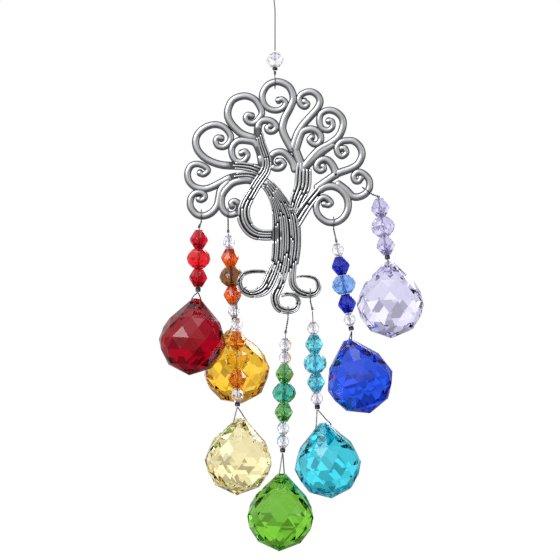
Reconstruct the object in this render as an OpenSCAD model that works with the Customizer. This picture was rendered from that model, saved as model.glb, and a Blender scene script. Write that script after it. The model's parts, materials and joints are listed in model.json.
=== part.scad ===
// Tree-of-life suncatcher: a cast scrollwork tree on a hanging line, with seven beaded
// wires that each carry one faceted glass ball. Millimetres, +Z up, viewed along +Y.
// The origin is the inner top of the hanging loop.

/* [Hanging line] */
// Thickness of the hanging line
line_d = 0.4; // [0.3:0.05:0.5]
// Height of the hanging loop's opening
loop_h = 8; // [6:0.5:9]
// Width of the hanging loop, centre to centre
loop_w = 5; // [4:0.5:6]
// Height of the line's lower knot
line_knot_z = -27.2; // [-29:0.1:-27]

/* [Top bead] */
// Width of the clear bead over the tree
top_bead_d = 5.3; // [4.5:0.1:5.5]
// Height of the clear bead over the tree
top_bead_h = 4.3; // [4:0.1:4.5]

/* [Tree casting] */
// Thickness of the casting
tree_t = 2.4; // [2:0.1:2.6]
// Height of the top scroll's centreline
tree_top_z = -36.6; // [-37:0.1:-36.5]
// Width of a scroll where it leaves the trunk
scroll_w = 2.3; // [2:0.1:2.5]
// Width of a scroll close to its curled end
curl_w = 1.7; // [1.5:0.1:1.9]
// Radius of the round stop at the end of a curl
curl_r = 1.15; // [1:0.05:1.3]
// Radius of the fillets where scrolls meet
fillet_r = 0.25; // [0.1:0.05:0.4]

/* [Wire work] */
// Thickness of the bead wire
wire_d = 0.4; // [0.3:0.05:0.45]
// Centreline radius of the wire ring round a scroll
ring_r = 1.95; // [1.9:0.05:2]
// Thickness of the twisted wire under a ring
neck_d = 0.6; // [0.5:0.05:0.7]
// Thickness of the sling wire that carries a ball
sling_d = 0.36; // [0.3:0.02:0.38]
// Radius of the knot under a ring
knot_r = 0.5; // [0.4:0.05:0.5]
// Width of a crimp
crimp_d = 1.6; // [1.4:0.1:1.8]
// Height of a crimp
crimp_h = 1.3; // [1.1:0.1:1.4]

/* [Beads] */
// Width of a bicone bead
bicone_d = 5.5; // [5.2:0.1:5.6]
// Height of a bicone bead
bicone_h = 5.7; // [5.5:0.1:5.8]
// Width of a rondelle bead
rondelle_d = 7.3; // [7:0.1:7.4]
// Height of a rondelle bead
rondelle_h = 5.5; // [5.3:0.1:5.6]
// Width of a small clear bead
clear_d = 3.7; // [3.5:0.1:3.8]
// Height of a small clear bead
clear_h = 3.8; // [3.6:0.1:3.9]
// Hole through a bicone or a rondelle
bead_hole_d = 0.9; // [0.8:0.05:1]
// Hole through a small clear bead
clear_hole_d = 0.8; // [0.7:0.05:0.9]

/* [Glass balls] */
// Width of a ball
ball_d = 20.3; // [19.8:0.1:20.4]
// Height of the ball's flat top over its widest ring
ball_top = 12.9; // [12.6:0.1:13]
// Depth of the ball's lower point under its widest ring
ball_tip = 10.1; // [9.6:0.1:10.2]
// Height of the cross hole over the widest ring
hole_z = 11.2; // [11.1:0.1:11.3]
// Width of the cross hole
hole_d = 1; // [0.9:0.05:1.1]

/* [Hidden] */
colours = ["red", "amber", "yellow", "green", "cyan", "blue", "lavender"];
function named(tail) = [for (c = colours) str(c, "_", tail)];
has_clears = ["amber", "yellow", "green", "cyan", "blue"];

clear_gap = 0.1;
bend_d = sling_d + 0.06;
bead_gap = 0.12;
apex_drop = 0.3;
pin_rise = 0.2;
shoulder_reach = 2.1;
shoulder_rise = 2;
mouth_reach = 3.25;
spline_steps = 3;
wire_sides = 24;

// Each strand: the ring's centre on the casting and the slope of the scroll there, the knot
// under the ring, a point that the wire aims at, the space over the first bead, the beads
// from the top (c clear, b bicone, r rondelle), the ball's centre, its lean to the left and
// the turn of its cross hole. Places are measured from the top scroll's centreline.
strands = [
    ["red", [-22.1, -40.2], 0, [-22.7, -1, -43.4], [-23, -3.6, -62.7], 1.1,
        "brb", [-24.6, -5.8, -77.8], -5.4, 60],
    ["amber", [-14.1, -39.7], 0, [-14.1, 2.6, -44.8], [-12.3, 8, -72], 1.3,
        "cbrbc", [-11.6, 10.9, -87.2], 9, 70],
    ["yellow", [-10.1, -62.6], -53, [-11.5, -2.3, -67.6], [-11.2, -3.4, -96.7], 3.2,
        "cbrbc", [-10.9, -4.3, -113.6], -3, 51],
    ["green", [3.9, -69.2], 0, [3.2, -1, -75], [2.3, -6, -110.4], 1.9,
        "ccbrbcc", [1.6, -8.5, -129.9], -2, 71],
    ["cyan", [10.6, -63.9], 0, [11.2, 0.6, -68.1], [12.7, 2.8, -97], 3.9,
        "cbrbc", [15.9, 4.2, -115.3], 6.5, 38],
    ["blue", [17.6, -42.3], 0, [18.4, -0.4, -47.7], [22.9, -0.8, -74.3], 0.8,
        "cbrbc", [25.5, -1, -89.7], 17, 80],
    ["lavender", [27.8, -32.7], 55, [31, -0.6, -34.4], [33.5, -3.6, -52], 0.7,
        "brb", [34.4, -5.8, -66.8], 1.5, 85]];
function strand(name) = [for (s = strands) if (s[0] == name) s][0];

// Scrolls of the tree, from the trunk to the curled end, from the top scroll's centreline.
scrolls = [
    [[5.2, -20.4], [2.4, -15], [2.7, -11.4], [4.5, -7.8], [5.5, -4.8], [4.5, -1.8], [2.4, -0.3],
        [0, 0], [-2.4, -1.2], [-3.8, -3.9], [-3.3, -6.6], [-1.5, -8.2], [0.9, -8.5], [2.7, -7.5],
        [3.1, -6.1], [2.1, -5.2], [1.1, -5.5]],
    [[-4.2, -17.4], [-9.3, -15.9], [-12, -13.8], [-13.9, -11.1], [-14.1, -8.4], [-12.6, -5.4],
        [-9.3, -4.2], [-6.3, -5.1], [-4.5, -7.5], [-4, -9.6], [-5.1, -11.4], [-6.6, -12.4],
        [-8.1, -12], [-8.8, -10.8], [-8.1, -9.8], [-7, -10.2]],
    [[-3, -26.2], [-6.5, -25.7], [-10.5, -25.2], [-15.9, -24.9], [-20.1, -23.4], [-22.8, -21], [-23.8, -18.3],
        [-23.1, -15.6], [-20.7, -13.5], [-17.7, -12.8], [-15, -13.8], [-13.3, -16.2],
        [-13.8, -18.3], [-15.3, -19.5], [-17.1, -19.2], [-17.8, -17.7], [-17.1, -16.6],
        [-16.1, -16.9]],
    [[-3.3, -27.5], [-4, -24], [-4.6, -21], [-6, -18.3], [-8.4, -17.6], [-11.1, -17.7], [-12.8, -19.5], [-12.9, -21.6],
        [-12, -23.4], [-10.5, -24], [-9, -23.4], [-8.2, -21.9], [-9, -20.8], [-10, -21.3]],
    [[-5.1, -15.9], [-5.1, -13.5], [-4.2, -11.8], [-2.1, -11.5], [-0.3, -12.3], [0.3, -13.8],
        [-0.6, -14.8], [-1.9, -14.8], [-2.4, -13.8], [-1.5, -13.2]],
    [[-3.6, -29.4], [-7.2, -28.4], [-10.5, -28.2], [-13.5, -28.8], [-15.9, -30], [-18.9, -31.5], [-21.3, -32.1],
        [-24, -31.5], [-25.8, -29.7], [-26.2, -27.3], [-25.2, -25.2], [-23.4, -24.6],
        [-21.6, -25.1], [-20.2, -26.1], [-20.4, -27.1], [-21.6, -27.8], [-22.5, -27.3]],
    [[-14.1, -30], [-16.2, -32.4], [-16.8, -34.8], [-17.4, -37.2], [-19.2, -39.3], [-21.6, -40.2],
        [-23.7, -39.6], [-25.3, -37.5], [-25.3, -35.1], [-24.3, -33.6], [-22.8, -33.1],
        [-21.3, -33.6], [-21.1, -34.8], [-22.2, -35.5], [-22.8, -35.1]],
    [[-4.2, -30.6], [-8, -29.4], [-12, -30], [-14.1, -31.5], [-15.8, -33.9], [-16.1, -36.6], [-15.3, -38.7],
        [-13.5, -39.8], [-11.7, -39.3], [-10.8, -37.8], [-11.1, -36.3], [-12.2, -35.7],
        [-13.2, -36.3], [-12.9, -37.2]],
    [[6, -26.4], [5.4, -24.3], [3.9, -22.2], [2.1, -21], [0, -21.3], [-1.3, -22.8],
        [-1.3, -24.6], [0, -25.9], [1.8, -25.8], [2.7, -24.6], [1.9, -23.6], [0.9, -23.8]],
    [[5.2, -20.4], [6.6, -15.9], [8.4, -12.9], [10.5, -10.5], [12.6, -8.1], [13.5, -6],
        [12.9, -4.2], [11.4, -3.1], [9.6, -3], [7.8, -3.9], [7.2, -5.4], [7.8, -6.9], [9, -7.5],
        [9.8, -6.6], [8.8, -5.8]],
    [[6.2, -20.4], [7.8, -15.6], [9.3, -14.4], [11.4, -14.2], [13.2, -15.3], [13.8, -17.1],
        [12.9, -18.6], [11.4, -18.6], [10.3, -17.4], [11.1, -16.5]],
    [[8.7, -25.5], [11.1, -22.5], [13.5, -20.1], [16.8, -18.3], [19.2, -16.2], [20.4, -13.2],
        [20.1, -10.8], [18.3, -9], [15.9, -8.5], [13.8, -9.6], [13.3, -12], [14.1, -13.9],
        [15.9, -14.5], [17.2, -13.5], [17.1, -11.8], [16.1, -11.7]],
    [[12.6, -31.8], [15.9, -29.4], [18.9, -27.4], [22.5, -26.1], [24.9, -24.6], [26.1, -21.9],
        [25.5, -19.5], [23.7, -17.8], [21.6, -17.6], [19.8, -18], [18.6, -19.5], [18.8, -21.3],
        [20.1, -22.3], [21.4, -21.3], [21, -19.9], [20.1, -19.9]],
    [[18.3, -28.2], [17.7, -25.8], [16.2, -23.7], [14.4, -23.2], [12.8, -24.3], [12.4, -25.8],
        [13.5, -26.7], [14.7, -26.2], [14.5, -25.2]],
    [[18.9, -30.6], [21.3, -32.4], [23.1, -34.2], [24.9, -34.5], [27, -33.6], [28.3, -31.8],
        [28.2, -29.4], [26.7, -27.6], [24.9, -27], [23.6, -28.2], [24, -29.7], [25.2, -29.8],
        [25.8, -28.8]],
    [[13.5, -32.4], [15, -31.5], [17.4, -31.3], [19.8, -32.4], [21.6, -34.8], [21.9, -37.8],
        [20.7, -40.5], [18.3, -42.1], [15.6, -42], [13.2, -40.2], [12.3, -37.8], [12.9, -35.7],
        [14.4, -34.6], [15.9, -35.1], [16.8, -36.3], [15.9, -37], [14.8, -36.6]]];

// Trunk, ribbon and roots, as a centreline with the width at each point.
limbs = [
    [[-4.8, -15.3, 2.4], [-3.9, -18.9, 2.7], [-2.7, -22.5, 3], [-2.4, -24.9, 3.2], [-3, -27, 3.3],
        [-5.1, -30, 3.4], [-6.9, -33, 3.5], [-8.8, -36.3, 3.7], [-9.5, -39, 4], [-9, -42, 4.1],
        [-7.1, -44.6, 4], [-4.5, -45.8, 3.8], [0, -46, 3.7]],
    [[-3.3, -29.7, 3], [-0.9, -32.4, 3.9], [1.2, -36, 5.4], [2.7, -40.2, 7.2], [3.2, -45, 8.1],
        [3.2, -49.5, 8.2], [2.7, -54, 8.4], [2.1, -57.6, 8.7], [1.5, -60, 7.5]],
    [[8.7, -24.6, 4.5], [8.5, -27.9, 5.2], [8.2, -31.5, 5.2], [6.6, -35.4, 4.2], [5.4, -39.3, 3]],
    [[9.3, -24.9, 3], [13.2, -21.3, 3.2], [17.4, -18.9, 2]],
    [[14.4, -31.2, 3], [10.2, -36.3, 3.3], [7.2, -40.8, 3.6], [5.7, -43.8, 3]],
    [[8.4, -26.4, 3], [6.9, -22.5, 2.8], [5.6, -18.6, 2.4]],
    [[0.3, -54, 3.6], [-2.1, -58.8, 3.3], [-4.8, -62.4, 3], [-7.5, -63.6, 2.6],
        [-9.9, -62.4, 2], [-10.8, -60, 1.5], [-9.6, -57.6, 1.2], [-6.9, -56.9, 1.1],
        [-3.6, -56.7, 1.1]],
    [[1.5, -59.4, 2.9], [-0.2, -63.9, 2.7], [0, -66.9, 2.7], [2.6, -69, 2.4], [5.4, -68.6, 2],
        [7.2, -66.6, 1.7], [7.2, -64.5, 1.5], [5.4, -63.3, 1.2], [3, -63.3, 1.1], [1.5, -64.5, 1]],
    [[5.1, -55.8, 2.7], [6, -59.4, 2.3], [7.4, -62.1, 2.2], [9.6, -63.6, 2.1],
        [11.7, -63.5, 1.8], [13.1, -61.8, 1.5], [12.8, -59.7, 1.2], [10.8, -58.5, 1],
        [8.4, -58.3, 0.9], [6.9, -58.8, 0.9]]];

// Distance along a strand from its knot to the top of bead i.
function bead_h(kind) = kind == "c" ? clear_h : kind == "b" ? bicone_h : rondelle_h;
function bead_top(s, i) = i == 0 ? s[5] : bead_top(s, i - 1) + bead_h(s[6][i - 1]) + bead_gap;
function unit(v) = v / norm(v);
function down(s) = unit(s[4] - s[3]);
function knot_at(s) = s[3] + [0, 0, tree_top_z];
function on_strand(s, d) = knot_at(s) + d * down(s);
function stack_end(s) = bead_top(s, len(s[6]));
function ball_at(s) = s[7] + [0, 0, tree_top_z];
function ball_up(s) = unit([-tan(s[8]), down(s)[1] / down(s)[2], 1]);
function hole_at(s) = ball_at(s) + hole_z * ball_up(s);
function apex_at(s) = on_strand(s, stack_end(s) + crimp_h + apex_drop);
function pin_at(s) = hole_at(s) + pin_rise * unit(apex_at(s) - hole_at(s));
function sling_up(s) = unit(apex_at(s) - pin_at(s));

// Direction of a ball's cross hole and of the wire through it.
function cross_dir(s) = let (u = sling_up(s), e = [cos(s[9]), sin(s[9]), 0])
    unit(e - (e * u) * u);

// Smooth curve through points, with evenly spaced steps between each pair.
function spline_at(a, b, c, d, t) = 0.5 * (2 * b + (c - a) * t
    + (2 * a - 5 * b + 4 * c - d) * t * t + (3 * b - a - 3 * c + d) * t * t * t);
function smooth(p, n) = let (last = len(p) - 1) concat(
    [for (i = [0:last - 1]) for (j = [0:n - 1])
        spline_at(p[max(i - 1, 0)], p[i], p[i + 1], p[min(i + 2, last)], j / n)], [p[last]]);

// Left and right normals of a curve in the plane.
function flat_unit(v) = let (w = [v[0], v[1]]) w / norm(w);
function side(p, i) = let (t = flat_unit(p[min(i + 1, len(p) - 1)] - p[max(i - 1, 0)])) [-t[1], t[0]];
function xy(v) = [v[0], v[1]];

// A flat band along points that each hold x, y and width.
module band(points) {
    p = smooth(points, spline_steps);
    for (i = [0:len(p) - 2])
        polygon([
            xy(p[i]) + side(p, i) * p[i][2] / 2, xy(p[i + 1]) + side(p, i + 1) * p[i + 1][2] / 2,
            xy(p[i + 1]) - side(p, i + 1) * p[i + 1][2] / 2, xy(p[i]) - side(p, i) * p[i][2] / 2]);
}

// A scroll tapers along its length and ends in a round stop.
module scroll(points) {
    last = len(points) - 1;
    band([for (i = [0:last])
        [points[i][0], points[i][1], scroll_w + (curl_w - scroll_w) * i / last]]);
    translate(points[last]) circle(r = curl_r, $fn = 14);
}

module tree() {
    color("silver")
        translate([0, 0, tree_top_z]) rotate([90, 0, 0])
            linear_extrude(height = tree_t, center = true)
                offset(delta = -fillet_r, chamfer = true) offset(delta = fillet_r, chamfer = true) {
                    for (s = scrolls) scroll(s);
                    for (l = limbs) band(l);
                }
}

// A straight round rod from a to b.
module rod(a, b, d) {
    v = b - a;
    translate(a) rotate([0, acos(v[2] / norm(v)), atan2(v[1], v[0])])
        cylinder(h = norm(v), d = d, $fn = wire_sides);
}

// Turns +Z onto the direction v.
module aim(v) {
    rotate([0, acos(v[2] / norm(v)), atan2(v[1], v[0])]) children();
}

// A cut-glass solid: rings of corners [height, radius, half steps], drawn tight round.
module gem(n, rings) {
    corners = [for (g = rings) for (i = [0:n - 1])
        let (a = 360 * (i + g[2] / 2) / n) [g[1] * cos(a), g[1] * sin(a), g[0]]];
    hull() polyhedron(corners, [for (i = [0:len(corners) - 3]) [i, i + 1, i + 2]]);
}

module bicone() {
    difference() {
        gem(8, [[bicone_h / 2, 1.3, 0], [0.35, bicone_d / 2, 1], [-0.35, bicone_d / 2, 0],
            [-bicone_h / 2, 1.3, 1]]);
        cylinder(h = bicone_h + 1, d = bead_hole_d, center = true, $fn = wire_sides);
    }
}

module rondelle() {
    r = rondelle_d / 2;
    difference() {
        gem(10, [[rondelle_h / 2, 0.52 * r, 0], [0.26 * rondelle_h, 0.87 * r, 1], [0, r, 0],
            [-0.26 * rondelle_h, 0.87 * r, 1], [-rondelle_h / 2, 0.52 * r, 0]]);
        cylinder(h = rondelle_h + 1, d = bead_hole_d, center = true, $fn = wire_sides);
    }
}

module clear_bead(d, h) {
    difference() {
        gem(8, [[h / 2, 0.24 * d, 0], [0.2 * h, 0.47 * d, 1], [0, d / 2, 0],
            [-0.2 * h, 0.47 * d, 1], [-h / 2, 0.24 * d, 0]]);
        cylinder(h = h + 1, d = clear_hole_d, center = true, $fn = wire_sides);
    }
}

// Places the beads of one kind along a strand.
module beads(s, kind) {
    for (i = [0:len(s[6]) - 1])
        if (s[6][i] == kind)
            translate(on_strand(s, bead_top(s, i) + bead_h(kind) / 2)) aim(-down(s)) children();
}

module hanging_line() {
    x = line_d / 2 + 0.05;
    half = loop_w / 2;
    low = line_d / 2 - loop_h;
    route = concat(
        [[0, line_knot_z], [0, -24], [0, -21], [0, -18], [0, -15], [-x, -12.4], [-x, low - 2.6],
            [-x, low - 0.6]],
        [[-0.65 * half, low + 2.2], [-half, low + 5.2]],
        [for (a = [150:-30:30]) [half * cos(a), line_d / 2 - half + half * sin(a)]],
        [[half, low + 5.2], [0.65 * half, low + 2.2], [x, low - 0.6], [x, low - 2.6]]);
    color("lightgray") {
        tube(smooth(route, 3), line_d / 2, 8);
        translate([0, 0, line_knot_z]) sphere(r = knot_r, $fn = wire_sides);
    }
}

// A round cord along points in the XZ plane.
module tube(p, r, sides) {
    rings = [for (i = [0:len(p) - 1]) for (k = [0:sides - 1])
        let (n = side(p, i), a = 360 * k / sides)
            [p[i][0] + r * cos(a) * n[0], r * sin(a), p[i][1] + r * cos(a) * n[1]]];
    last = (len(p) - 1) * sides;
    polyhedron(rings, concat(
        [[for (k = [0:sides - 1]) sides - 1 - k]],
        [for (i = [0:len(p) - 2]) for (k = [0:sides - 1])
            let (a = i * sides + k, b = i * sides + (k + 1) % sides)
                [a, b, b + sides, a + sides]],
        [[for (k = [0:sides - 1]) last + k]]));
}

module line_crimp() {
    color("dimgray") translate([0, 0, line_d / 2 - loop_h - 2.6]) difference() {
        cylinder(h = 2, d = crimp_d, $fn = wire_sides);
        translate([0, 0, -1]) cylinder(h = 4, d = 2 * line_d + 0.3, $fn = wire_sides);
    }
}

top_bead_z = line_knot_z - knot_r - clear_gap - top_bead_h / 2;
top_crimp_z = top_bead_z - top_bead_h / 2 - clear_gap;
top_knot_z = top_crimp_z - 1.5;

module top_bead() {
    color("aliceblue") translate([0, 0, top_bead_z]) clear_bead(top_bead_d, top_bead_h);
}

module top_crimp() {
    color("dimgray") {
        rod([0, 0, top_crimp_z - 0.4], [0, 0, line_knot_z - knot_r - clear_gap], wire_d);
        translate([0, 0, top_crimp_z - 0.9]) cylinder(h = 0.9, d = crimp_d, $fn = wire_sides);
    }
}

// A wire ring round a scroll, its twisted neck and the knot below or above it.
module ring_hanger(centre, slope, knot) {
    along = [cos(slope), 0, sin(slope)];
    reach = knot - centre;
    out = unit(reach - (reach * along) * along);
    translate(centre) rotate([0, 90 - slope, 0]) rotate_extrude($fn = 48)
        translate([ring_r, 0]) circle(d = wire_d, $fn = wire_sides);
    rod(centre + ring_r * out, knot, neck_d);
    translate(knot) sphere(r = knot_r, $fn = wire_sides);
}

module top_hanger() {
    color("gray") ring_hanger([0, 0, tree_top_z], 0, [0, 0, top_knot_z]);
}

module hanger(s) {
    color("gray") ring_hanger([s[1][0], 0, s[1][1] + tree_top_z], s[2], knot_at(s));
}

module wire(s) {
    color("gray") rod(on_strand(s, knot_r + clear_gap),
        on_strand(s, stack_end(s) + crimp_h - 0.2), wire_d);
}

module crimp(s) {
    color("dimgray") translate(on_strand(s, stack_end(s))) aim(down(s)) difference() {
        cylinder(h = crimp_h, d = crimp_d, $fn = wire_sides);
        translate([0, 0, -1]) cylinder(h = crimp_h + 2, d = wire_d + 0.1, $fn = wire_sides);
    }
}

// The wire loop from the crimp down to the ball, through its cross hole and back.
module sling(s) {
    apex = apex_at(s);
    pin = pin_at(s);
    across = cross_dir(s);
    color("gray") {
        for (k = [-1, 1]) {
            shoulder = pin + k * shoulder_reach * across + shoulder_rise * sling_up(s);
            mouth = pin + k * mouth_reach * across;
            rod(apex, shoulder, sling_d);
            rod(shoulder, mouth, sling_d);
            translate(shoulder) sphere(d = bend_d, $fn = wire_sides);
            translate(mouth) sphere(d = bend_d, $fn = wire_sides);
        }
        translate(apex) sphere(d = bend_d, $fn = wire_sides);
        rod(pin - mouth_reach * across, pin + mouth_reach * across, sling_d);
    }
}

module ball(s) {
    r = ball_d / 2;
    difference() {
        translate(ball_at(s)) aim(ball_up(s)) gem(12, [
            [ball_top, 1.3, 1], [0.63 * r, 0.76 * r, 0], [0.34 * r, 0.9 * r, 1], [0, r, 0],
            [-0.34 * r, 0.9 * r, 1], [-0.73 * r, 0.64 * r, 0], [-ball_tip, 0.01, 0]]);
        rod(hole_at(s) - ball_d / 2 * cross_dir(s), hole_at(s) + ball_d / 2 * cross_dir(s), hole_d);
    }
}

// Colours of each strand: the ball, the bicones and the rondelle.
tints = [
    ["red", "firebrick", "crimson", "red"], ["amber", "goldenrod", "orangered", "saddlebrown"],
    ["yellow", "khaki", "orange", "gold"], ["green", "limegreen", "forestgreen", "mediumseagreen"],
    ["cyan", "darkturquoise", "turquoise", "deepskyblue"],
    ["blue", "mediumblue", "navy", "cornflowerblue"], ["lavender", "thistle", "plum", "plum"]];

for (t = tints) {
    s = strand(t[0]);
    hanger(s);
    wire(s);
    crimp(s);
    sling(s);
    color(t[1]) ball(s);
    color(t[2]) beads(s, "b") bicone();
    color(t[3]) beads(s, "r") rondelle();
    color("aliceblue") beads(s, "c") clear_bead(clear_d, clear_h);
}
tree();
hanging_line();
line_crimp();
top_bead();
top_crimp();
top_hanger();
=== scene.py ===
import json
import math
import random
import bmesh
import bpy
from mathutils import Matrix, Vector


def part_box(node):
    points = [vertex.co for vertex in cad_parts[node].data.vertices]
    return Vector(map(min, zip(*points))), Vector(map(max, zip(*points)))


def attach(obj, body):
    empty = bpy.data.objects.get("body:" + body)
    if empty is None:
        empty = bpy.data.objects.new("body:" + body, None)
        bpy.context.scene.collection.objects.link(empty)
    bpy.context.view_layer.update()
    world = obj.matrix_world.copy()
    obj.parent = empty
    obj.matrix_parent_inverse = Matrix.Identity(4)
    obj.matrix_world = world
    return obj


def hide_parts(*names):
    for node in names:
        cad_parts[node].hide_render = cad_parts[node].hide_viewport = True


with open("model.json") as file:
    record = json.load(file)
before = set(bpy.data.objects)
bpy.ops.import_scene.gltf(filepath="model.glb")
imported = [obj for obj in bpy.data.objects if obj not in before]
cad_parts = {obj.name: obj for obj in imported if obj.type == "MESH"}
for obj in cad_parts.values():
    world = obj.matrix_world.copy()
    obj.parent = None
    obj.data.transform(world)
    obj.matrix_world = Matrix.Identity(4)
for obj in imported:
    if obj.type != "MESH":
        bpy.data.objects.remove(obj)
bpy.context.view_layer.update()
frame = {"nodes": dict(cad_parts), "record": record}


# The viewpoint: a long lens, level with the middle of the ornament and square to the
# flat tree, so that the casting shows its face and the strands hang plumb.
mm = 0.001
line_exit = Vector((0, 0, -27.2)) * mm
view_centre = Vector((1.5, 0, -96)) * mm
view_width = 168 * mm
view_distance = 0.9

viewpoint = bpy.data.objects.new("viewpoint", bpy.data.cameras.new("viewpoint"))
viewpoint.data.sensor_width = 36
viewpoint.data.lens = 36 * view_distance / view_width
viewpoint.data.clip_start = 0.05
viewpoint.location = view_centre - Vector((0, view_distance, 0))
viewpoint.rotation_euler = (math.radians(90), 0, 0)
bpy.context.collection.objects.link(viewpoint)
bpy.context.scene.camera = viewpoint


# The hanging line: one length of pale nylon, knotted on the wire over the tree's bead, that
# runs up, round into a loop for a hook, and back down through its own crimp.
class Flow:
    """One value in a finish. Adding, subtracting and multiplying lays out the maths nodes."""

    def __init__(self, finish, socket):
        self.finish, self.socket = finish, socket

    def maths(self, operation, *values):
        return self.finish.add("ShaderNodeMath", {"operation": operation}, *values)

    def __add__(self, other):
        return self.maths("ADD", self, other)

    def __sub__(self, other):
        return self.maths("SUBTRACT", self, other)

    def __rsub__(self, other):
        return self.maths("SUBTRACT", other, self)

    def __mul__(self, other):
        return self.maths("MULTIPLY", self, other)

    def __truediv__(self, other):
        return self.maths("DIVIDE", self, other)

    __radd__, __rmul__ = __add__, __mul__

    def size(self):
        return self.maths("ABSOLUTE", self)

    def smaller(self, other):
        return self.maths("MINIMUM", self, other)

    def between(self, low, high):
        """0 below low, 1 above high, and an even rise between them."""
        return self.finish.add("ShaderNodeMapRange", {"interpolation_type": "SMOOTHSTEP"},
            self, low, high, 0.0, 1.0)


class Finish:
    """A material for one kind of surface, with its nodes."""

    def __init__(self, name, **constants):
        self.material = bpy.data.materials.new(name)
        self.material.use_nodes = True
        self.nodes = self.material.node_tree.nodes
        self.links = self.material.node_tree.links
        self.surface = self.nodes["Principled BSDF"]
        for socket, value in constants.items():
            self.surface.inputs[socket.replace("_", " ")].default_value = value

    def add(self, kind, settings, *values, out=0, **named):
        """A node of any kind. Settings go in first, then the sockets, by order or by name."""
        node = self.nodes.new(kind)
        for setting, value in settings.items():
            if setting == "stops":
                for place, tone in value:
                    stop = node.color_ramp.elements.new(place)
                    stop.color = (*tone, 1)
                for spare in (0, -1):
                    node.color_ramp.elements.remove(node.color_ramp.elements[spare])
            else:
                setattr(node, setting, value)
        for socket, value in [*zip(node.inputs, values)] + [
                (node.inputs[name.replace("_", " ")], v) for name, v in named.items()]:
            if isinstance(value, Flow):
                self.links.new(value.socket, socket)
            elif value is not None:
                socket.default_value = value
        return Flow(self, node.outputs[out])

    def place(self):
        return self.add("ShaderNodeTexCoord", {}, out=3)

    def noise(self, scale, detail=3.0, roughness=0.55):
        return self.add("ShaderNodeTexNoise", {}, Vector=self.place(), Scale=scale,
            Detail=detail, Roughness=roughness)

    def tones(self, amount, *stops):
        return self.add("ShaderNodeValToRGB", {"stops": stops}, amount)

    def mix(self, amount, first, second):
        """A colour between two, each a tuple or a flow."""
        node = self.nodes.new("ShaderNodeMix")
        node.data_type = "RGBA"
        for socket, value in ((node.inputs[0], amount), (node.inputs[6], first), (node.inputs[7], second)):
            if isinstance(value, Flow):
                self.links.new(value.socket, socket)
            else:
                socket.default_value = (*value, 1) if isinstance(value, tuple) else value
        return Flow(self, node.outputs[2])

    def drive(self, socket, flow):
        self.links.new(flow.socket, self.surface.inputs[socket])

    def relief(self, height, distance, strength=1.0):
        self.drive("Normal", self.add("ShaderNodeBump", {}, Strength=strength, Distance=distance,
            Height=height))


def spline(points, steps):
    """A smooth line through points of any dimension."""
    out = []
    for i in range(len(points) - 1):
        a, b = points[max(i - 1, 0)], points[i]
        c, d = points[i + 1], points[min(i + 2, len(points) - 1)]
        for j in range(steps):
            t = j / steps
            out.append(tuple(0.5 * (2 * q + (r - p) * t + (2 * p - 5 * q + 4 * r - s) * t * t
                + (3 * q - p - 3 * r + s) * t ** 3) for p, q, r, s in zip(a, b, c, d)))
    return out + [tuple(points[-1])]


line_r = 0.2
lie_apart = 0.25
loop_half, loop_low = 2.5, -7.8
in_crimp, over_crimp, swell, shoulder = -2.6, -0.6, 2.2, 5.2
arc = [(loop_half * math.cos(math.radians(a)), line_r - loop_half + loop_half * math.sin(math.radians(a)))
    for a in range(150, -31, -30)]
line_route = spline([(0, line_exit.z / mm), (0, -24), (0, -21), (0, -18), (0, -15), (-lie_apart, -12.4),
    (-lie_apart, loop_low + in_crimp), (-lie_apart, loop_low + over_crimp),
    (-0.65 * loop_half, loop_low + swell), (-loop_half, loop_low + shoulder), *arc,
    (loop_half, loop_low + shoulder), (0.65 * loop_half, loop_low + swell),
    (lie_apart, loop_low + over_crimp), (lie_apart, loop_low + in_crimp)], 4)
line_path = [Vector((x, 0, z)) * mm for x, z in line_route]

line_curve = bpy.data.curves.new("line", "CURVE")
line_curve.dimensions = "3D"
line_curve.bevel_depth = line_r * mm
line_curve.bevel_resolution = 3
strip = line_curve.splines.new("POLY")
strip.points.add(len(line_path) - 1)
for point, spot in zip(strip.points, line_path):
    point.co = (*spot, 1)
line = bpy.data.objects.new("line", line_curve)
bpy.context.collection.objects.link(line)

nylon = Finish("nylon_line", Roughness=0.4)
nylon.drive("Base Color", nylon.mix(nylon.noise(900.0), (0.16, 0.16, 0.17), (0.34, 0.34, 0.36)))
nylon.relief(nylon.noise(4000.0, 2.0), 0.00002)
line_curve.materials.append(nylon.material)
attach(line, "line")
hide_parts("hanging_line")


# Crimps: short tubes of gunmetal-plated copper, squeezed flat across the middle on the
# line or wire they hold, with their two ends left round.
def new_mesh(name, verts, faces, smooth=True):
    mesh = bpy.data.meshes.new(name)
    mesh.from_pydata([Vector(v) * mm for v in verts], [], faces)
    mesh.polygons.foreach_set("use_smooth", [smooth] * len(mesh.polygons))
    piece = bpy.data.objects.new(name, mesh)
    bpy.context.collection.objects.link(piece)
    return piece


def frame_along(path):
    """A pair of cross directions at each point of a path, turning as little as they can."""
    across, pairs = None, []
    for i, spot in enumerate(path):
        along = (path[min(i + 1, len(path) - 1)] - path[max(i - 1, 0)]).normalized()
        if across is None:
            across = along.orthogonal().normalized()
        across = (across - across.dot(along) * along).normalized()
        pairs.append((across, along.cross(across)))
    return pairs


def skin(rings, verts, faces):
    """Closes a row of rings of points into a tube with flat ends."""
    base, sides = len(verts), len(rings[0])
    for ring in rings:
        verts.extend(ring)
    for i in range(len(rings) - 1):
        for k in range(sides):
            a, b = base + i * sides + k, base + i * sides + (k + 1) % sides
            faces.append((a, b, b + sides, a + sides))
    faces.append(tuple(base + k for k in reversed(range(sides))))
    faces.append(tuple(base + (len(rings) - 1) * sides + k for k in range(sides)))


def round_wire(path, radius, verts, faces, sides=8):
    skin([[spot + radius * (math.cos(a) * u + math.sin(a) * v)
        for a in (math.tau * k / sides for k in range(sides))]
        for spot, (u, v) in zip(path, frame_along(path))], verts, faces)


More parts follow.
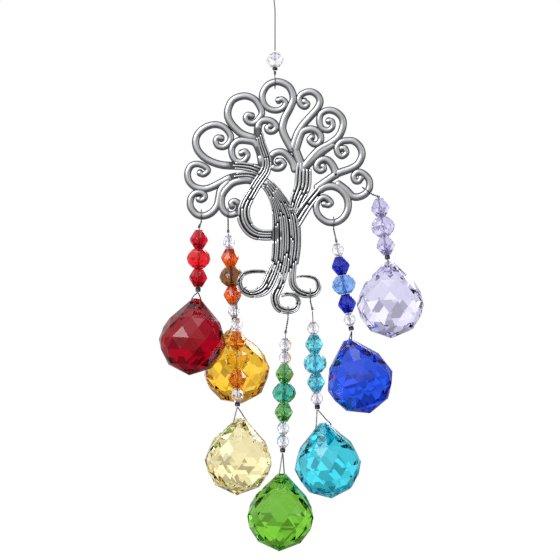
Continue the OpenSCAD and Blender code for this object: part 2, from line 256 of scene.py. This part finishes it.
def twisted(path, lay_r, strand_r, pitch, strands, verts, faces, sides=6):
    """Wires laid round each other along a path."""
    pairs, run = frame_along(path), [0.0]
    for a, b in zip(path, path[1:]):
        run.append(run[-1] + (b - a).length)
    for s in range(strands):
        turn = [math.tau * (r / pitch + s / strands) for r in run]
        round_wire([spot + lay_r * (math.cos(t) * u + math.sin(t) * v)
            for spot, (u, v), t in zip(path, pairs, turn)], strand_r, verts, faces, sides)


def stretch(a, b, count):
    return [a.lerp(b, i / count) for i in range(count + 1)]


plating = Finish("gunmetal_plating", Metallic=0.9)
plating.drive("Base Color", plating.tones(plating.noise(1400.0),
    (0.3, (0.035, 0.035, 0.04)), (0.7, (0.14, 0.14, 0.15))))
plating.drive("Roughness", plating.noise(2500.0) * 0.3 + 0.25)
plating.relief(plating.noise(3500.0), 0.00003)


crimp_length = {"line_crimp": 2.0, "top_crimp": 0.9}
strand_crimp_length = 1.3
crimp_r, crimp_bulge, crimp_spread, crimp_squeeze = 0.64, 0.08, 0.08, 0.2
crimp_steps, crimp_sides = 12, 24


def squeezed_crimp(name, node, along, bore, body):
    """A tube at a node's place, along a direction, pinched flat at its middle."""
    low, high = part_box(node)
    middle = (low + high) / 2 / mm
    length = crimp_length.get(node, strand_crimp_length)
    if node == "top_crimp":
        middle = Vector((0, 0, low.z / mm + length / 2))
    flat = Vector((1, 0, 0)) - along.x * along
    flat.normalize()
    deep = along.cross(flat)
    turn = [math.tau * k / crimp_sides for k in range(crimp_sides)]
    rings = []
    for i in range(crimp_steps + 1):
        t = i / crimp_steps
        pinch = math.sin(math.pi * t) ** 2
        lip = crimp_bulge * (1 if 0 < i < crimp_steps else 0)
        wide = crimp_r + lip + crimp_spread * pinch
        thick = crimp_r + lip - crimp_squeeze * pinch
        rings.append([middle + along * length * (t - 0.5) + wide * math.cos(a) * flat
            + thick * math.sin(a) * deep for a in turn])
    for t in (1, 0):
        rings.append([middle + along * length * (t - 0.5) + bore * (math.cos(a) * flat
            + math.sin(a) * deep) for a in turn])
    verts, faces = [v for ring in rings for v in ring], []
    for i in range(len(rings)):
        for k in range(crimp_sides):
            a, b = i * crimp_sides + k, i * crimp_sides + (k + 1) % crimp_sides
            c = (i + 1) % len(rings) * crimp_sides
            faces.append((a, b, c + (k + 1) % crimp_sides, c + k))
    crimp = new_mesh(name, verts, faces)
    crimp.data.materials.append(plating.material)
    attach(crimp, body)
    return crimp


line_crimp = squeezed_crimp("line_crimp_tube", "line_crimp", Vector((0, 0, 1)), 0.5, "line")
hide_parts("line_crimp")


# The crown over the tree: a clear cut bead on a short wire, held by a crimp, with the wire
# twisted on itself down to the ring through the top scroll.
joints = {j["name"]: j for j in frame["record"]["behaviour"]["joints"]}


def joint_at(name):
    return Vector(joints[name]["pos_m"]) / mm


def joint_axis(name):
    return Vector(joints[name]["axis"]).normalized()


steel = Finish("drawn_steel_wire", Metallic=1.0)
steel.drive("Base Color", steel.tones(steel.noise(1100.0),
    (0.25, (0.14, 0.14, 0.15)), (0.75, (0.40, 0.40, 0.41))))
steel.drive("Roughness", steel.noise(3000.0) * 0.25 + 0.2)
steel.relief(steel.noise(6000.0, 2.0), 0.00001)


def wire_piece(name, node, body, verts, faces):
    piece = new_mesh(name, verts, faces)
    piece.data.materials.append(steel.material)
    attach(piece, body)
    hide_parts(node)
    return piece


ring_r, ring_wire_r = 1.95, 0.17
neck_lay, neck_wire_r, neck_pitch = 0.14, 0.13, 1.3
wrap_r, wrap_wire_r, wrap_turns = 0.31, 0.11, 3.5
wrap_start, wrap_run = -0.5, 0.9


def scroll_ring(name, node, body, centre, slope, knot):
    """A ring round a scroll, closed by a twisted neck and a few wraps over the knot."""
    reach = knot - centre
    out = (reach - reach.dot(slope) * slope).normalized()
    over = slope.cross(out)
    verts, faces = [], []
    ring = [centre + ring_r * (math.cos(a) * out + math.sin(a) * over)
        for a in (math.tau * i / 40 for i in range(41))]
    round_wire(ring, ring_wire_r, verts, faces)
    neck = stretch(centre + (ring_r - 0.1) * out, knot, 24)
    twisted(neck, neck_lay, neck_wire_r, neck_pitch, 2, verts, faces)
    u, v = frame_along(neck)[-1]
    fall = (neck[-1] - neck[-2]).normalized()
    wraps = [knot + fall * (wrap_run * i / 40 + wrap_start) + wrap_r * (math.cos(a) * u + math.sin(a) * v)
        for i, a in ((i, math.tau * wrap_turns * i / 40) for i in range(41))]
    round_wire(wraps, wrap_wire_r, verts, faces, 6)
    return wire_piece(name, node, body, verts, faces)


top_knot = joint_at("top_sway")
tree_top = joint_at("tree_tilt")
scroll_ring("crown_ring", "top_hanger", "top_loop", tree_top, Vector((1, 0, 0)), top_knot)

bead_lay, bead_wire_r, crown_pitch = 0.09, 0.09, 1.4
crown_low, crown_high = (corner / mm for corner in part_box("top_crimp"))
verts, faces = [], []
twisted(stretch(Vector((0, 0, crown_low.z + 0.3)), Vector((0, 0, crown_high.z)), 30),
    bead_lay, bead_wire_r, crown_pitch, 3, verts, faces)
crown_wire = new_mesh("crown_wire", verts, faces)
crown_wire.data.materials.append(steel.material)
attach(crown_wire, "crown")
crown_crimp = squeezed_crimp("crown_crimp_tube", "top_crimp", Vector((0, 0, 1)), 0.2, "crown")
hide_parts("top_crimp")


def cut_glass(name, node, body, glass, bevel):
    """A glass piece with the facets of its solid, each arris ground off a little."""
    mesh = frame["nodes"][node].data.copy()
    mesh.materials.clear()
    mesh.transform(frame["nodes"][node].matrix_world)
    work = bmesh.new()
    work.from_mesh(mesh)
    bmesh.ops.remove_doubles(work, verts=work.verts, dist=0.000002)
    bmesh.ops.dissolve_limit(work, angle_limit=math.radians(1.5), verts=work.verts, edges=work.edges)
    arrises = [e for e in work.edges if len(e.link_faces) == 2 and e.calc_length() > 0.5 * mm
        and math.radians(5) < e.calc_face_angle(0) < math.radians(100)]
    bmesh.ops.bevel(work, geom=arrises, offset=bevel * mm, segments=1, affect="EDGES",
        clamp_overlap=True)
    work.to_mesh(mesh)
    work.free()
    mesh.polygons.foreach_set("use_smooth", [False] * len(mesh.polygons))
    piece = bpy.data.objects.new(name, mesh)
    bpy.context.collection.objects.link(piece)
    mesh.materials.append(glass.material)
    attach(piece, body)
    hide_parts(node)
    return piece


glass_bend = 1.54


def tinted_glass(name, light, deep, depth=0.0, film=0.0):
    """Lead glass with a tint that deepens with the way through it, cut and polished."""
    glass = Finish(name, Transmission_Weight=1.0, IOR=glass_bend, Thin_Film_Thickness=film)
    if depth:
        body = glass.nodes.new("ShaderNodeVolumeAbsorption")
        body.inputs["Color"].default_value = (*light, 1)
        body.inputs["Density"].default_value = depth
        glass.links.new(body.outputs[0], glass.nodes["Material Output"].inputs["Volume"])
    glass.drive("Base Color", glass.mix(glass.noise(160.0, 2.0), light, deep))
    glass.drive("Roughness", glass.noise(700.0).between(0.62, 0.8) * 0.035)
    glass.relief(glass.noise(260.0, 1.0), 0.00001, 0.25)
    return glass


clear_glass = tinted_glass("clear_rainbow_glass", (0.95, 0.94, 0.98), (0.86, 0.84, 0.94), film=380.0)
cut_glass("crown_bead", "top_bead", "crown", clear_glass, 0.04)


# The tree: one flat casting of antiqued silver alloy, blackened all over and then polished,
# so that black stays in the grooves and round the edges, with painted shade added in its creases
# and down the edges of the rounded strokes. Rounded scrolls branch from a trunk, a ribbon and
# three roots whose faces are modelled as bundles of raised bark lines.
tree_half = 1.2
scroll_half, curl_half = 1.27, 0.9
scroll_face, arm_face = tree_half - 0.04, tree_half - 0.06
under_ribbon, under_lines = 0.85, 0.7
curl_r, curl_face, curl_rim = 1.15, 1.15, 1.1

scrolls = [
    [(5.2, -20.4), (2.4, -15), (2.7, -11.4), (4.5, -7.8), (5.5, -4.8), (4.5, -1.8), (2.4, -0.3),
        (0, 0), (-2.4, -1.2), (-3.8, -3.9), (-3.3, -6.6), (-1.5, -8.2), (0.9, -8.5), (2.7, -7.5),
        (3.1, -6.1), (2.1, -5.2), (1.1, -5.5)],
    [(-4.2, -17.4), (-9.3, -15.9), (-12, -13.8), (-13.9, -11.1), (-14.1, -8.4), (-12.6, -5.4),
        (-9.3, -4.2), (-6.3, -5.1), (-4.5, -7.5), (-4, -9.6), (-5.1, -11.4), (-6.6, -12.4),
        (-8.1, -12), (-8.8, -10.8), (-8.1, -9.8), (-7, -10.2)],
    [(-3, -26.2), (-6.5, -25.7), (-10.5, -25.2), (-15.9, -24.9), (-20.1, -23.4), (-22.8, -21),
        (-23.8, -18.3), (-23.1, -15.6), (-20.7, -13.5), (-17.7, -12.8), (-15, -13.8),
        (-13.3, -16.2), (-13.8, -18.3), (-15.3, -19.5), (-17.1, -19.2), (-17.8, -17.7),
        (-17.1, -16.6), (-16.1, -16.9)],
    [(-3.3, -27.5), (-4, -24), (-4.6, -21), (-6, -18.3), (-8.4, -17.6), (-11.1, -17.7),
        (-12.8, -19.5), (-12.9, -21.6), (-12, -23.4), (-10.5, -24), (-9, -23.4), (-8.2, -21.9),
        (-9, -20.8), (-10, -21.3)],
    [(-5.1, -15.9), (-5.1, -13.5), (-4.2, -11.8), (-2.1, -11.5), (-0.3, -12.3), (0.3, -13.8),
        (-0.6, -14.8), (-1.9, -14.8), (-2.4, -13.8), (-1.5, -13.2)],
    [(-3.6, -29.4), (-7.2, -28.4), (-10.5, -28.2), (-13.5, -28.8), (-15.9, -30), (-18.9, -31.5),
        (-21.3, -32.1), (-24, -31.5), (-25.8, -29.7), (-26.2, -27.3), (-25.2, -25.2),
        (-23.4, -24.6), (-21.6, -25.1), (-20.2, -26.1), (-20.4, -27.1), (-21.6, -27.8), (-22.5, -27.3)],
    [(-14.1, -30), (-16.2, -32.4), (-16.8, -34.8), (-17.4, -37.2), (-19.2, -39.3), (-21.6, -40.2),
        (-23.7, -39.6), (-25.3, -37.5), (-25.3, -35.1), (-24.3, -33.6), (-22.8, -33.1),
        (-21.3, -33.6), (-21.1, -34.8), (-22.2, -35.5), (-22.8, -35.1)],
    [(-4.2, -30.6), (-8, -29.4), (-12, -30), (-14.1, -31.5), (-15.8, -33.9), (-16.1, -36.6),
        (-15.3, -38.7), (-13.5, -39.8), (-11.7, -39.3), (-10.8, -37.8), (-11.1, -36.3),
        (-12.2, -35.7), (-13.2, -36.3), (-12.9, -37.2)],
    [(6, -26.4), (5.4, -24.3), (3.9, -22.2), (2.1, -21), (0, -21.3), (-1.3, -22.8), (-1.3, -24.6),
        (0, -25.9), (1.8, -25.8), (2.7, -24.6), (1.9, -23.6), (0.9, -23.8)],
    [(5.2, -20.4), (6.6, -15.9), (8.4, -12.9), (10.5, -10.5), (12.6, -8.1), (13.5, -6),
        (12.9, -4.2), (11.4, -3.1), (9.6, -3), (7.8, -3.9), (7.2, -5.4), (7.8, -6.9), (9, -7.5),
        (9.8, -6.6), (8.8, -5.8)],
    [(6.2, -20.4), (7.8, -15.6), (9.3, -14.4), (11.4, -14.2), (13.2, -15.3), (13.8, -17.1),
        (12.9, -18.6), (11.4, -18.6), (10.3, -17.4), (11.1, -16.5)],
    [(8.7, -25.5), (11.1, -22.5), (13.5, -20.1), (16.8, -18.3), (19.2, -16.2), (20.4, -13.2),
        (20.1, -10.8), (18.3, -9), (15.9, -8.5), (13.8, -9.6), (13.3, -12), (14.1, -13.9),
        (15.9, -14.5), (17.2, -13.5), (17.1, -11.8), (16.1, -11.7)],
    [(12.6, -31.8), (15.9, -29.4), (18.9, -27.4), (22.5, -26.1), (24.9, -24.6), (26.1, -21.9),
        (25.5, -19.5), (23.7, -17.8), (21.6, -17.6), (19.8, -18), (18.6, -19.5), (18.8, -21.3),
        (20.1, -22.3), (21.4, -21.3), (21, -19.9), (20.1, -19.9)],
    [(18.3, -28.2), (17.7, -25.8), (16.2, -23.7), (14.4, -23.2), (12.8, -24.3), (12.4, -25.8),
        (13.5, -26.7), (14.7, -26.2), (14.5, -25.2)],
    [(18.9, -30.6), (21.3, -32.4), (23.1, -34.2), (24.9, -34.5), (27, -33.6), (28.3, -31.8),
        (28.2, -29.4), (26.7, -27.6), (24.9, -27), (23.6, -28.2), (24, -29.7), (25.2, -29.8),
        (25.8, -28.8)],
    [(13.5, -32.4), (15, -31.5), (17.4, -31.3), (19.8, -32.4), (21.6, -34.8), (21.9, -37.8),
        (20.7, -40.5), (18.3, -42.1), (15.6, -42), (13.2, -40.2), (12.3, -37.8), (12.9, -35.7),
        (14.4, -34.6), (15.9, -35.1), (16.8, -36.3), (15.9, -37), (14.8, -36.6)]]

# Centrelines with their widths, from the top down.
ribbon = [(-4.8, -15.3, 2.4), (-3.9, -18.9, 2.7), (-2.7, -22.5, 3), (-2.4, -24.9, 3.2),
    (-3, -27, 3.3), (-5.1, -30, 3.4), (-6.9, -33, 3.5), (-8.8, -36.3, 3.7), (-9.5, -39, 4),
    (-9, -42, 4.1), (-7.1, -44.6, 4), (-4.5, -45.8, 3.8), (0, -46, 3.7)]
trunk = [(-3.3, -29.7, 3), (-0.9, -32.4, 3.9), (1.2, -36, 5.4), (2.7, -40.2, 7.2), (3.2, -45, 8.1),
    (3.2, -49.5, 8.2), (2.7, -54, 8.0), (2.4, -55.2, 6.4)]
fork = [(8.7, -24.6, 4.5), (8.5, -27.9, 5.2), (8.2, -31.5, 5.2), (6.6, -35.4, 4.2), (5.4, -39.3, 3)]
right_limb = [(14.4, -31.2, 3), (10.2, -36.3, 3.3), (7.2, -40.8, 3.6), (5.7, -43.8, 3)]
fork_arms = [[(9.3, -24.9, 3), (13.2, -21.3, 3.2), (17.4, -18.9, 2)],
    [(8.4, -26.4, 3), (6.9, -22.5, 2.8), (5.6, -18.6, 2.4)]]
left_limbs = [[(-12.5, -25.1, 2.2), (-9.5, -25.3, 2.6), (-6.5, -25.9, 2.8), (-2.6, -27.6, 3)],
    [(-12.5, -28.4, 2.2), (-9.5, -28.1, 2.6), (-6.5, -28.5, 2.8), (-2.2, -30.8, 3)]]
roots = [
    [(0.9, -53.6, 4), (-1.1, -58.3, 4.3), (-3.3, -62.2, 4.1), (-6.9, -63.6, 2.8), (-9.6, -62.5, 2.2),
        (-10.6, -60, 1.8), (-9.4, -57.8, 1.5), (-7.2, -57, 1.3), (-4.2, -56.9, 1.2), (-1.6, -57.2, 1)],
    [(3.1, -56, 2.5), (1.9, -60.5, 2.4), (0.1, -64.4, 2.8), (0.9, -67.5, 2.5), (3.5, -68.7, 2.2),
        (6.1, -68.1, 1.9), (7.1, -65.9, 1.6), (6.1, -64.1, 1.3), (3.9, -63.6, 1.2), (1.9, -64.1, 1)],
    [(5.1, -55.8, 2.9), (5.2, -60.2, 2.6), (7.2, -62.9, 2.4), (10, -63.8, 2), (12.2, -63.2, 1.7),
        (13.1, -61.4, 1.5), (12.5, -59.3, 1.3), (10.8, -58.4, 1.1), (8.4, -58.2, 1), (6.5, -58.5, 0.9)]]
root_lines = (5, 3, 3)

bright, black = ([], []), ([], [])


def cross_of(path, i):
    """The unit direction across a flat path at point i, to its left."""
    a, b = path[max(i - 1, 0)], path[min(i + 1, len(path) - 1)]
    length = math.hypot(b[0] - a[0], b[1] - a[1])
    return -(b[1] - a[1]) / length, (b[0] - a[0]) / length


def stroke(path, into, crown=2.4, sides=16):
    """A bar with rounded faces and ends along points of x, z, half width and half thickness."""
    first, last = path[0], path[-1]
    ends = []
    for tip, inner in ((first, path[1]), (last, path[-2])):
        length = math.hypot(tip[0] - inner[0], tip[1] - inner[1])
        away = ((tip[0] - inner[0]) / length, (tip[1] - inner[1]) / length)
        ends.append([(tip[0] + away[0] * f * tip[2], tip[1] + away[1] * f * tip[2], tip[2] * w, tip[3] * h)
            for f, w, h in ((0.35, 0.85, 0.95), (0.6, 0.5, 0.8), (0.7, 0.2, 0.55))])
    full = ends[0][::-1] + list(path) + ends[1]
    rings = []
    for i, (x, z, half, thick) in enumerate(full):
        n = cross_of(full, i)
        ring = []
        for k in range(sides):
            a = math.tau * (k + 0.5) / sides
            c, s = math.cos(a), math.sin(a)
            u = half * math.copysign(abs(c) ** (2 / crown), c)
            y = thick * math.copysign(abs(s) ** (2 / crown), s)
            ring.append((x + n[0] * u, y, tree_top.z + z + n[1] * u))
        rings.append(ring)
    skin(rings, *into)


def nearest(limb, x, z):
    """How far into a limb a point lies: 0 on its centreline, 1 on its edge."""
    return min(math.hypot(px - x, pz - z) / (w / 2) for px, pz, w in limb)


ribbon_line = spline(ribbon, 8)
trunk_line = spline(trunk, 8)
limb_lines = [spline(limb, 8) for limb in left_limbs]


def scroll_depth(x, z):
    """Half the thickness of a scroll, which dips under the ribbon and the bark lines."""
    if nearest(ribbon_line, x, z) < 1.0:
        return under_ribbon
    return under_lines if min(nearest(limb, x, z) for limb in limb_lines) < 0.8 else scroll_face


for points in scrolls:
    count = len(points) - 1
    path = spline([(x, z, scroll_half + (curl_half - scroll_half) * i / count)
        for i, (x, z) in enumerate(points)], 6)
    stroke([(x, z, half, scroll_depth(x, z)) for x, z, half in path], bright)
    x, z = points[-1]
    stroke([(x - 0.2, z, curl_r, curl_rim), (x, z, curl_r, curl_face), (x + 0.2, z, curl_r, curl_rim)],
        bright, 2.0)

for limb in fork_arms:
    stroke(spline([(x, z, w / 2, arm_face) for x, z, w in limb], 8), bright)

# The black ground under the bark lines; the ribbon's lies higher where it crosses the trunk.
# It stops short of the ends that taper into a scroll or a curl.
ribbon_lines, fork_lines, limb_count, trunk_lines = 4, 5, 3, sum(root_lines)
grounds = [(ribbon, ribbon_lines, 0.98), (trunk, trunk_lines, 0.82), (fork, fork_lines, 0.82),
    (right_limb, limb_count, 0.78), *((limb, limb_count, 0.8) for limb in left_limbs),
    *((root, n, 0.8) for root, n in zip(roots, root_lines))]
for limb, lines, thick in grounds:
    last = len(limb) - 1
    ground = spline([(x, z, w / 2 * (1 - 1 / lines), 0.7 if limb is ribbon and i == last else thick)
        for i, (x, z, w) in enumerate(limb)], 6)
    start = 0 if limb in (trunk, fork, right_limb) else 5
    end = len(ground) - (0 if limb in (trunk, ribbon) else 4)
    stroke(ground[start:end], black, 5)


def lane(limb, f):
    """The points of one bark line at fraction f across a limb, from -1 to 1."""
    out = []
    for i, (x, z, w) in enumerate(limb):
        n = cross_of(limb, i)
        out.append((x + n[0] * f * w / 2, z + n[1] * f * w / 2))
    return out


side_steps = (-0.13, -0.06, 0.06, 0.13)
dip = 0.3


def bark_line(points, half, chance, under=None):
    """A raised line, broken here and there into steps that start a little to one side."""
    path = spline([(*p, h) for p, h in zip(points, half)], 7)
    path = path[chance.randrange(6):]
    piece, shift, left = [], 0.0, chance.uniform(4, 12)
    for i, (x, z, h) in enumerate(path):
        n = cross_of(path, i)
        thick = tree_half - (dip if under and nearest(under, x, z) < 1.0 else 0)
        piece.append((x + n[0] * shift, z + n[1] * shift, h, thick))
        if i:
            left -= math.hypot(x - path[i - 1][0], z - path[i - 1][1])
        if left < 0 and len(path) - i > 5 and len(piece) > 5:
            stroke(piece, bright, 3.2, 12)
            piece, left = [], chance.uniform(5, 15)
            shift = chance.choice(side_steps)
    if len(piece) > 2:
        stroke(piece, bright, 3.2, 12)


line_fill, root_fill = 0.43, 0.42


def bundle(limb, count, seed, under=None):
    """Bark lines side by side along a limb, which may dip under another."""
    for k in range(count):
        bark_line(lane(limb, (2 * k + 1) / count - 1), [line_fill * w / count for x, z, w in limb],
            random.Random(seed + k), under)


bundle(ribbon[:-1] + [(-1.2, -45.95, 3.7)], ribbon_lines, 11)
bundle(fork, fork_lines, 31)
bundle(right_limb, limb_count, 51, trunk_line)
for i, limb in enumerate(left_limbs):
    bundle(limb, limb_count, 71 + 10 * i, ribbon_line)

# Eleven lines run down the trunk, every other one from further up, and on into the roots.
crowd = [3, 5] + [trunk_lines] * (len(trunk) - 2)
for k, (r, place) in enumerate((r, place) for r, n in enumerate(root_lines) for place in range(n)):
    top, skip, lines = k % 2, 0 if r == 1 else 1, root_lines[r]
    down = lane(trunk, (2 * k + 1) / trunk_lines - 1)[top:7]
    on = lane(roots[r], (2 * place + 1) / lines - 1)[skip:]
    half = ([line_fill * w / n for (x, z, w), n in zip(trunk, crowd)][top:7]
        + [root_fill * w / lines for x, z, w in roots[r][skip:]])
    bark_line(down + on, half, random.Random(91 + k), ribbon_line)
trunk_edge = [(7.2, -42, 0.42, 1.0), (7.35, -46, 0.5, 1.0), (7.25, -50, 0.5, 1.0), (6.7, -54.5, 0.4, 1.0)]
stroke(spline(trunk_edge, 6), bright)


def silver_finish(name, polished, tarnish_and_painted_shade, shine):
    """Silver alloy with black worked into its low places and painted shade in its creases and along the
    edges of its strokes, and the fine grain of a casting.
    """
    silver = Finish(name, Specular_IOR_Level=0.0)
    place = silver.add("ShaderNodeSeparateXYZ", {}, silver.place(), out=1)
    # Black kept on the low flanks of each stroke: part the casting's blackening, part painted shade that
    # draws dark outlines down the rounded edges.
    high = (place.size() / mm).between(0.78, 1.14)
    # Ambient occlusion darkens creases and the contacts between strokes: painted shade.
    ao_painted_shade = silver.add("ShaderNodeAmbientOcclusion", {"samples": 8, "only_local": True},
        Distance=0.0012, out=1)
    grain = silver.noise(500.0, 4.0)
    # The tarnish colour comes in where either mask is low, so this mix paints shade as well as the black
    # of the antiquing.
    rub_and_painted_shade = (high * 0.9 + 0.1) * ao_painted_shade.between(0.3, 0.85) * (grain * 0.5 + 0.75)
    silver.drive("Base Color", silver.mix(rub_and_painted_shade.smaller(1.0), tarnish_and_painted_shade, polished))
    silver.drive("Metallic", rub_and_painted_shade.between(0.1, 0.5))
    silver.drive("Roughness", (1 - rub_and_painted_shade.smaller(1.0)) * 0.3 + silver.noise(1800.0) * 0.16 + shine)
    silver.relief(silver.noise(2200.0, 4.0) + silver.noise(420.0, 2.0), 0.00001, 0.35)
    return silver


silver = silver_finish("antiqued_silver", (0.85, 0.86, 0.88), (0.012, 0.012, 0.014), 0.18)
blackened = Finish("blackened_ground", Specular_IOR_Level=0.05)
blackened.drive("Base Color", blackened.tones(blackened.noise(600.0, 4.0),
    (0.3, (0.006, 0.006, 0.007)), (0.75, (0.03, 0.03, 0.032))))
blackened.drive("Roughness", blackened.noise(1500.0) * 0.3 + 0.5)
blackened.relief(blackened.noise(2600.0, 4.0), 0.00004)

verts = bright[0] + black[0]
offset = len(bright[0])
faces = bright[1] + [tuple(i + offset for i in face) for face in black[1]]
casting = new_mesh("tree_casting", verts, faces)
casting.data.materials.append(silver.material)
casting.data.materials.append(blackened.material)
for polygon in casting.data.polygons[len(bright[1]):]:
    polygon.material_index = 1
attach(casting, "tree_body")
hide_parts("tree")


# The seven strands: each has a wire ring on a scroll or root, a bead wire of three fine
# strands, a crimp at its foot, and a sling of wire from the crimp through the ball.
colours = ["red", "amber", "yellow", "green", "cyan", "blue", "lavender"]
below_knot, above_apex, strand_pitch = 0.62, 0.45, 1.6
sling_wire_r = 0.18

for colour in colours:
    ring_at, knot = joint_at(colour + "_swing"), joint_at(colour + "_sway")
    fall = joint_axis(colour + "_bicones_spin")
    apex, pin = joint_at(colour + "_spin"), joint_at(colour + "_rock")
    rise, across = joint_axis(colour + "_spin"), joint_axis(colour + "_rock")
    scroll_ring(colour + "_ring", colour + "_hanger", colour + "_loop", ring_at,
        -joint_axis(colour + "_swing"), knot)

    verts, faces = [], []
    twisted(stretch(knot + below_knot * fall, apex - above_apex * fall, 60), bead_lay, bead_wire_r,
        strand_pitch, 3, verts, faces)
    wire_piece(colour + "_bead_wire", colour + "_wire", colour + "_strand", verts, faces)
    crimp = squeezed_crimp(colour + "_crimp_tube", colour + "_crimp", fall, 0.25, colour + "_strand")
    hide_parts(colour + "_crimp")

    verts, faces = [], []
    bent = pin + 2.1 * across + 2 * rise
    half = [apex + 0.16 * across, apex.lerp(bent, 0.5) + 0.12 * across, bent,
        pin + 2.95 * across + 0.8 * rise, pin + 3.2 * across + 0.12 * rise, pin + 2.8 * across]
    loop = half + [pin + 1.2 * across, pin, pin - 1.2 * across] + [
        p - 2 * (p - pin).dot(across) * across for p in reversed(half)]
    round_wire([Vector(p) for p in spline([tuple(p) for p in loop], 5)], sling_wire_r, verts,
        faces)
    wire_piece(colour + "_sling_wire", colour + "_sling", colour + "_sling_loop", verts, faces)


# The beads: cut glass in standard sizes, loose on the wire. Each strand has two bicones
# with a rondelle between them, and most have small clear beads with a rainbow coat.
bicone_glass = {
    "red": ((0.80, 0.02, 0.05), (0.60, 0.0, 0.03)), "amber": ((0.96, 0.26, 0.03), (0.82, 0.13, 0.01)),
    "yellow": ((1.0, 0.58, 0.10), (0.92, 0.42, 0.03)), "green": ((0.36, 0.72, 0.34), (0.18, 0.52, 0.20)),
    "cyan": ((0.34, 0.84, 0.92), (0.18, 0.66, 0.78)), "blue": ((0.05, 0.10, 0.80), (0.01, 0.03, 0.55)),
    "lavender": ((0.80, 0.78, 0.94), (0.62, 0.60, 0.86))}
rondelle_glass = {
    "red": ((0.92, 0.04, 0.05), (0.75, 0.01, 0.03)), "amber": ((0.40, 0.18, 0.06), (0.24, 0.09, 0.03)),
    "yellow": ((1.0, 0.85, 0.16), (0.94, 0.68, 0.06)), "green": ((0.16, 0.66, 0.52), (0.06, 0.48, 0.38)),
    "cyan": ((0.32, 0.82, 0.92), (0.16, 0.66, 0.82)), "blue": ((0.36, 0.60, 0.95), (0.20, 0.42, 0.88)),
    "lavender": ((0.80, 0.78, 0.95), (0.64, 0.62, 0.88))}
for colour in colours:
    cut_glass(colour + "_bicone_glass", colour + "_bicones", colour + "_bicones_free",
        tinted_glass(colour + "_bicone_tint", *bicone_glass[colour], 120.0), 0.04)
    cut_glass(colour + "_rondelle_glass", colour + "_rondelle", colour + "_rondelle_free",
        tinted_glass(colour + "_rondelle_tint", *rondelle_glass[colour], 80.0), 0.04)
    if colour + "_clears" in frame["nodes"]:
        cut_glass(colour + "_clear_glass", colour + "_clears", colour + "_clears_free",
            clear_glass, 0.03)


# The balls: solid cut glass pendants 20 mm across, with triangular facets round the middle,
# long facets up to a drilled top and a shallow point below.
ball_glass = {
    "red": ((0.62, 0.0, 0.04), (0.40, 0.0, 0.02)), "amber": ((0.96, 0.76, 0.13), (0.88, 0.60, 0.06)),
    "yellow": ((0.98, 0.94, 0.73), (0.95, 0.87, 0.56)), "green": ((0.44, 0.78, 0.14), (0.22, 0.54, 0.06)),
    "cyan": ((0.22, 0.86, 0.93), (0.07, 0.66, 0.80)), "blue": ((0.08, 0.25, 0.92), (0.02, 0.12, 0.70)),
    "lavender": ((0.90, 0.89, 0.99), (0.79, 0.77, 0.96))}
for colour in colours:
    cut_glass(colour + "_glass", colour + "_ball", colour + "_glass_ball",
        tinted_glass(colour + "_tint", *ball_glass[colour], 60.0), 0.07)


# The studio: a pale floor, a soft lamp over each shoulder, front and back, a weaker one to
# the right, and plain white all round, with darker gaps that only the glass picks up.
floor_z = -0.25
floor = new_mesh("studio_floor", [(x / mm, y / mm, floor_z / mm) for x, y in
    ((-1.2, -1.6), (1.2, -1.6), (1.2, 0.65), (-1.2, 0.65))], [(0, 1, 2, 3)])
paper = Finish("white_paper", Roughness=0.8, Emission_Color=(1, 1, 1, 1), Emission_Strength=0.74)
paper.drive("Base Color", paper.mix(paper.noise(30.0), (0.17, 0.17, 0.17), (0.19, 0.19, 0.19)))
floor.visible_glossy = False
floor.data.materials.append(paper.material)


def soft_lamp(name, spot, size, power, through_glass=True):
    lamp = bpy.data.objects.new(name, bpy.data.lights.new(name, "AREA"))
    lamp.data.shape = "RECTANGLE"
    lamp.data.size, lamp.data.size_y = size
    lamp.data.energy = power
    lamp.location = spot
    lamp.rotation_euler = (view_centre - Vector(spot)).to_track_quat("-Z", "Y").to_euler()
    lamp.visible_camera = False
    lamp.visible_transmission = through_glass
    bpy.context.collection.objects.link(lamp)


soft_lamp("key_lamp", (-0.55, -0.7, 0.42), (0.55, 0.55), 4.5)
soft_lamp("back_lamp", (0.55, 0.7, 0.42), (0.4, 0.4), 3.0, False)
soft_lamp("fill_lamp", (0.75, -0.5, 0.05), (0.4, 0.6), 0.7)
soft_lamp("top_lamp", (0.0, -0.05, 0.6), (0.5, 0.3), 0.8, False)


class Room(Finish):
    """The light that comes from all round, laid out in the same way as a finish."""

    def __init__(self, name):
        self.world = bpy.data.worlds.new(name)
        self.world.use_nodes = True
        self.nodes, self.links = self.world.node_tree.nodes, self.world.node_tree.links
        self.surface = self.nodes["Background"]


room = Room("room")
way = room.add("ShaderNodeTexCoord", {}, out="Generated")
east, north, up = (room.add("ShaderNodeSeparateXYZ", {}, way, out=axis) for axis in "XYZ")
toward_lamps = up * 0.55 + north.size() * 0.62 - east * 0.32
soft_light = room.tones(toward_lamps * 0.5 + 0.5, (0.35, (0.03, 0.03, 0.03)), (0.62, (0.15, 0.15, 0.153)),
    (0.8, (0.44, 0.44, 0.45)), (0.92, (0.9, 0.9, 0.91)))
panels = room.add("ShaderNodeTexVoronoi", {}, Vector=way, Scale=4.5, out="Color")
low_down = 1 - up.size().between(0.4, 0.85)
behind_glass = (panels * 1.5 + 0.3).smaller(1.35) * (low_down * 0.8 + 0.2)
seen_through = room.add("ShaderNodeLightPath", {}, out="Is Transmission Ray")
seen_plainly = room.add("ShaderNodeLightPath", {}, out="Is Camera Ray")
light = room.mix(seen_through, soft_light, behind_glass)
room.drive("Color", room.mix(seen_plainly, light, (1.0, 1.0, 1.0)))
bpy.context.scene.world = room.world

bpy.context.scene.view_settings.view_transform = "Standard"
bpy.context.scene.cycles.max_bounces = 20
bpy.context.scene.cycles.transmission_bounces = 20
bpy.context.scene.cycles.glossy_bounces = 8
bpy.context.scene.cycles.use_denoising = True
